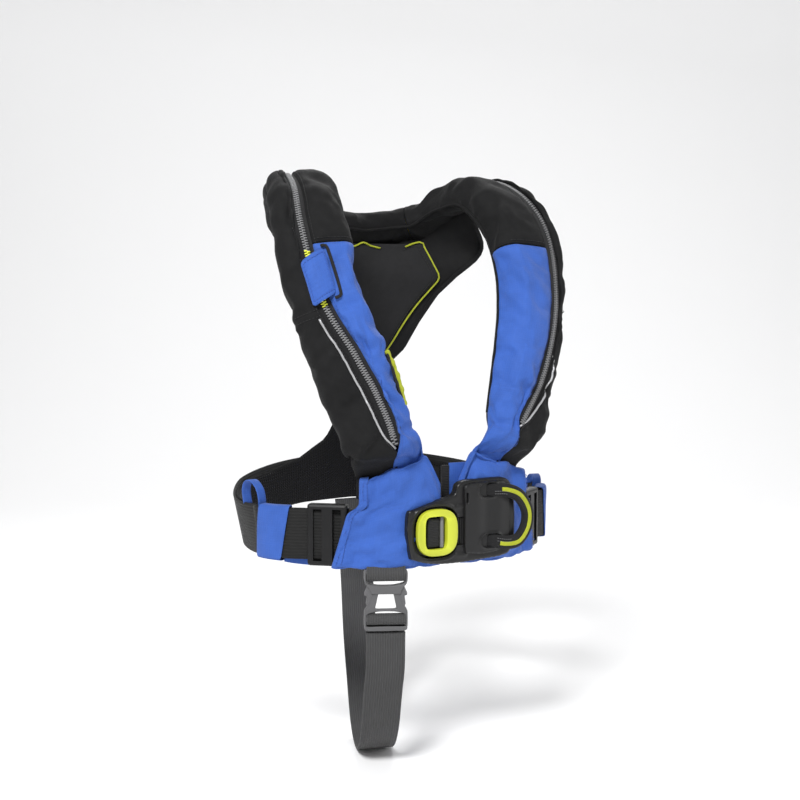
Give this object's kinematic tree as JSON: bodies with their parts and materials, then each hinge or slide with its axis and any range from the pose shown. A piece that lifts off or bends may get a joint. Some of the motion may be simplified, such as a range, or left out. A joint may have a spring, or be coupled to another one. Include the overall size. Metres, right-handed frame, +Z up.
{
  "type": "inflatable life jacket",
  "caption": "Inflatable life jacket with padded lobes, zipped cover, harness belt, chest plate with ring buckle and tether loop, and a crotch strap with a side-release buckle.",
  "frame": {"origin": "on the torso's axis at the mid-height of the waist belt", "axes": "+Z up along the wearer's spine, -Y the way the wearer faces, +X the wearer's left"},
  "size_m": [0.3546, 0.2681, 0.5917],
  "materials": {
    "black_fabric": "woven",
    "black_mesh": "mesh",
    "black_plastic": "satin",
    "black_webbing": "ribbed webbing",
    "blue_fabric": "woven ripstop",
    "charcoal_fabric": "matte",
    "grey_plastic": "satin",
    "lime_plastic": "satin",
    "lime_webbing": "woven",
    "orange_plastic": "satin",
    "red_plastic": "satin",
    "reflective": "reflective",
    "steel": "plain",
    "webbing": "ribbed webbing",
    "yellow_bladder": "coated fabric",
    "zip_teeth": "satin"
  },
  "bodies": {
    "jacket": {"back_lining": "charcoal_fabric", "back_mesh": "black_mesh", "back_yoke": "black_fabric", "belt_keeper_left": "blue_fabric", "belt_keeper_right": "blue_fabric", "belt_tail_left": "webbing", "belt_tail_right": "webbing", "burst_teeth": "lime_plastic", "chest_plate": "black_plastic", "closure_band": "black_webbing", "closure_tab_left": "blue_fabric", "closure_tab_right": "black_fabric", "collar_cover": "black_fabric", "collar_pad": "black_fabric", "cover_left": "black_fabric", "cover_right": "black_fabric", "crotch_buckle_latch": "grey_plastic", "crotch_buckle_socket": "grey_plastic", "crotch_strap": "webbing", "crotch_strap_tab": "webbing", "crotch_strap_wrap": "webbing", "facing_left": "blue_fabric", "facing_right": "blue_fabric", "folded_bladder": "yellow_bladder", "gas_cylinder": "steel", "inflator_body": "red_plastic", "oral_tube": "black_plastic", "oral_tube_cap": "red_plastic", "piping_left": "reflective", "piping_right": "reflective", "plate_cover": "black_plastic", "rescue_light": "orange_plastic", "ring_bar": "grey_plastic", "ring_webbing": "black_webbing", "shoulder_panel_left": "black_fabric", "shoulder_panel_right": "black_fabric", "side_loop_left": "blue_fabric", "side_loop_right": "blue_fabric", "waist_belt": "webbing", "waist_sleeve_left": "blue_fabric", "waist_sleeve_right": "blue_fabric", "whistle": "orange_plastic", "window_bar_1": "grey_plastic", "window_bar_2": "grey_plastic", "window_bar_3": "grey_plastic", "zip_tape": "black_webbing", "zip_teeth": "zip_teeth", "zip_teeth_lower": "zip_teeth"},
    "release_ring": {"release_ring": "lime_plastic"},
    "tether_loop": {"tether_loop": "black_webbing"},
    "burst_flap": {"burst_flap": "blue_fabric"},
    "pull_handle": {"pull_handle": "lime_webbing"},
    "firing_lever": {"firing_lever": "black_plastic"},
    "crotch_prong_left": {"crotch_prong_left": "grey_plastic"},
    "crotch_prong_right": {"crotch_prong_right": "grey_plastic"},
    "belt_adjuster_left": {"belt_adjuster_left": "black_plastic"},
    "belt_adjuster_right": {"belt_adjuster_right": "black_plastic"}
  },
  "joints": [
    {"name": "release_ring_hinge", "type": "hinge", "parent": "jacket", "child": "release_ring", "pos_m": [-0.0423, -0.1365, 0.003], "axis": [0, 0, -1], "range_deg": [0, 65]},
    {"name": "tether_loop_hinge", "type": "hinge", "parent": "jacket", "child": "tether_loop", "pos_m": [0.04, -0.1362, 0.0135], "axis": [0, 0, -1], "range_deg": [0, 80]},
    {"name": "burst_flap_hinge", "type": "hinge", "parent": "jacket", "child": "burst_flap", "pos_m": [-0.11577, -0.09978, 0.25004], "axis": [-0.1276, 0.3859, 0.9136], "range_deg": [0, 95]},
    {"name": "pull_handle_slide", "type": "slide", "parent": "jacket", "child": "pull_handle", "axis": [0.3765, -0.21, -0.9023], "range_m": [0, 0.025]},
    {"name": "firing_lever_hinge", "type": "hinge", "parent": "jacket", "child": "firing_lever", "pos_m": [-0.09528, -0.1118, 0.09666], "axis": [-0.2871, -0.9453, 0.1547], "range_deg": [0, 50]},
    {"name": "crotch_prong_left_hinge", "type": "hinge", "parent": "jacket", "child": "crotch_prong_left", "pos_m": [-0.05411, -0.11921, -0.073], "axis": [-0.3746, -0.9272, 0], "range_deg": [0, 7], "stiffness_Nm_per_rad": 0.06},
    {"name": "crotch_prong_right_hinge", "type": "hinge", "parent": "jacket", "child": "crotch_prong_right", "pos_m": [-0.07989, -0.10879, -0.073], "axis": [0.3746, 0.9272, 0], "range_deg": [0, 7], "stiffness_Nm_per_rad": 0.06},
    {"name": "belt_adjuster_left_slide", "type": "slide", "parent": "jacket", "child": "belt_adjuster_left", "axis": [0.7761, 0.6306, 0], "range_m": [-0.002, 0.012]},
    {"name": "belt_adjuster_right_slide", "type": "slide", "parent": "jacket", "child": "belt_adjuster_right", "axis": [-0.7761, 0.6306, 0], "range_m": [-0.002, 0.012]}
  ],
  "couplings": [
    {"joint": "firing_lever_hinge", "follows": "pull_handle_slide", "rad_per_m": 34.557}
  ]
}
